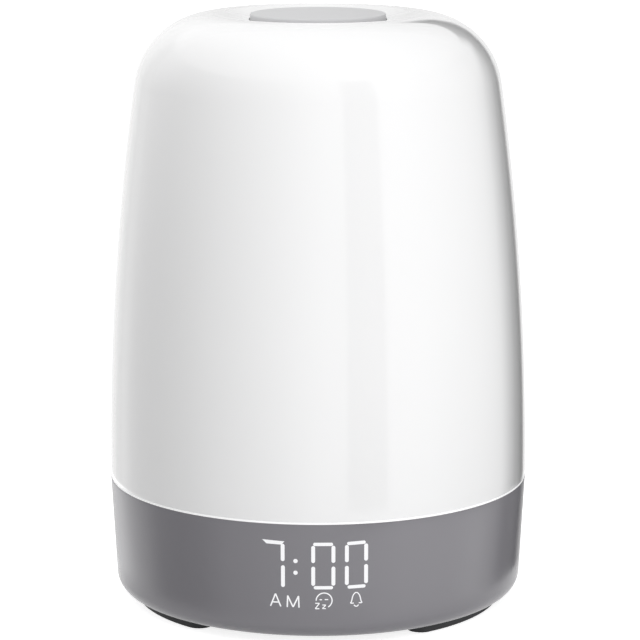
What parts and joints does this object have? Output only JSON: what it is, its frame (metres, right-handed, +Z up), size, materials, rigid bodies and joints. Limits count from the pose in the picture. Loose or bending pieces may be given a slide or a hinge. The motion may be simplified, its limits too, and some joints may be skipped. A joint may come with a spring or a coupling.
{
  "type": "sunrise alarm clock",
  "caption": "Bedside sunrise alarm clock: translucent lamp dome with a snooze button in its crown, on a round base with a hidden display and rear keys.",
  "frame": {"origin": "on the table, at the middle of the feet, under the body's axis", "axes": "+Z up along the body's axis, -Y out of the display's front, +X to the right as the display is read"},
  "size_m": [0.125, 0.125, 0.1754],
  "materials": {
    "base_plastic": "satin moulded grey plastic",
    "plate_plastic": "fine matte texture",
    "dome_plastic": "glossy translucent white",
    "seal_silicone": "smooth white silicone",
    "white_plastic": "moulded white inner plastic",
    "button_plastic": "satin light grey",
    "key_rubber": "soft matte",
    "foot_rubber": "matte black rubber",
    "screw_steel": "zinc plated",
    "spring_steel": "drawn wire",
    "board_laminate": "solder-masked circuit board",
    "black_plastic": "moulded black parts",
    "plunger_plastic": "natural moulded plastic",
    "lamp_phosphor": "lamp packages",
    "display_film": "smoked diffusing film",
    "cell_steel": "stainless",
    "speaker_metal": "black coated steel",
    "cone_paper": "coated paper",
    "magnet_ferrite": "ferrite with a plated yoke",
    "gasket_foam": "foam",
    "lead_vinyl": "insulated wire",
    "plug_nylon": "natural nylon",
    "shell_nickel": "nickel plated"
  },
  "bodies": {
    "clock_body": {"base_housing": "base_plastic", "bottom_plate": "plate_plastic", "foot_front_left": "foot_rubber", "foot_front_right": "foot_rubber", "foot_rear_left": "foot_rubber", "foot_rear_right": "foot_rubber", "bottom_screws": "screw_steel", "diffuser_dome": "dome_plastic", "light_seal": "seal_silicone", "deck_plate": "white_plastic", "deck_screws": "screw_steel", "lamp_column": "white_plastic", "column_screws": "screw_steel", "lamp_strips": "white_plastic", "lamps": "lamp_phosphor", "switch_carrier": "white_plastic", "switch_board": "board_laminate", "snooze_switch": "black_plastic", "snooze_spring": "spring_steel", "switch_lead": "lead_vinyl", "display_reflector": "white_plastic", "display_film": "display_film", "display_board": "board_laminate", "display_lamps": "lamp_phosphor", "display_header": "black_plastic", "main_board": "board_laminate", "board_parts": "black_plastic", "board_screws": "screw_steel", "cell_holder": "black_plastic", "coin_cell": "cell_steel", "key_header": "black_plastic", "key_board": "board_laminate", "key_switches": "black_plastic", "speaker_gasket": "gasket_foam", "speaker_frame": "speaker_metal", "speaker_cone": "cone_paper", "speaker_magnet": "magnet_ferrite", "speaker_screws": "screw_steel", "speaker_lead": "lead_vinyl", "power_board": "board_laminate", "power_parts": "plug_nylon", "power_screws": "screw_steel", "usb_shell": "shell_nickel", "usb_tongue": "black_plastic", "power_lead": "lead_vinyl"},
    "volume_key": {"volume_key": "key_rubber", "volume_plunger": "plunger_plastic"},
    "sound_key": {"sound_key": "key_rubber", "sound_plunger": "plunger_plastic"},
    "clock_key": {"clock_key": "key_rubber", "clock_plunger": "plunger_plastic"},
    "alarm_key": {"alarm_key": "key_rubber", "alarm_plunger": "plunger_plastic"},
    "dimmer_key": {"dimmer_key": "key_rubber", "dimmer_plunger": "plunger_plastic"},
    "snooze_button": {"snooze_button": "button_plastic", "snooze_plunger": "plunger_plastic"}
  },
  "joints": [
    {"name": "volume_press", "type": "slide", "parent": "clock_body", "child": "volume_key", "axis": [0, -1, 0], "range_m": [0, 0.0004], "stiffness_N_per_m": 800, "springref_m": -0.0002},
    {"name": "sound_press", "type": "slide", "parent": "clock_body", "child": "sound_key", "axis": [0, -1, 0], "range_m": [0, 0.0004], "stiffness_N_per_m": 800, "springref_m": -0.0002},
    {"name": "clock_press", "type": "slide", "parent": "clock_body", "child": "clock_key", "axis": [0, -1, 0], "range_m": [0, 0.0004], "stiffness_N_per_m": 800, "springref_m": -0.0002},
    {"name": "alarm_press", "type": "slide", "parent": "clock_body", "child": "alarm_key", "axis": [0, -1, 0], "range_m": [0, 0.0004], "stiffness_N_per_m": 800, "springref_m": -0.0002},
    {"name": "dimmer_press", "type": "slide", "parent": "clock_body", "child": "dimmer_key", "axis": [0, -1, 0], "range_m": [0, 0.0004], "stiffness_N_per_m": 800, "springref_m": -0.0002},
    {"name": "snooze_press", "type": "slide", "parent": "clock_body", "child": "snooze_button", "axis": [0, 0, -1], "range_m": [0, 0.001], "stiffness_N_per_m": 900, "springref_m": -0.001, "deforming": ["snooze_spring"]}
  ]
}
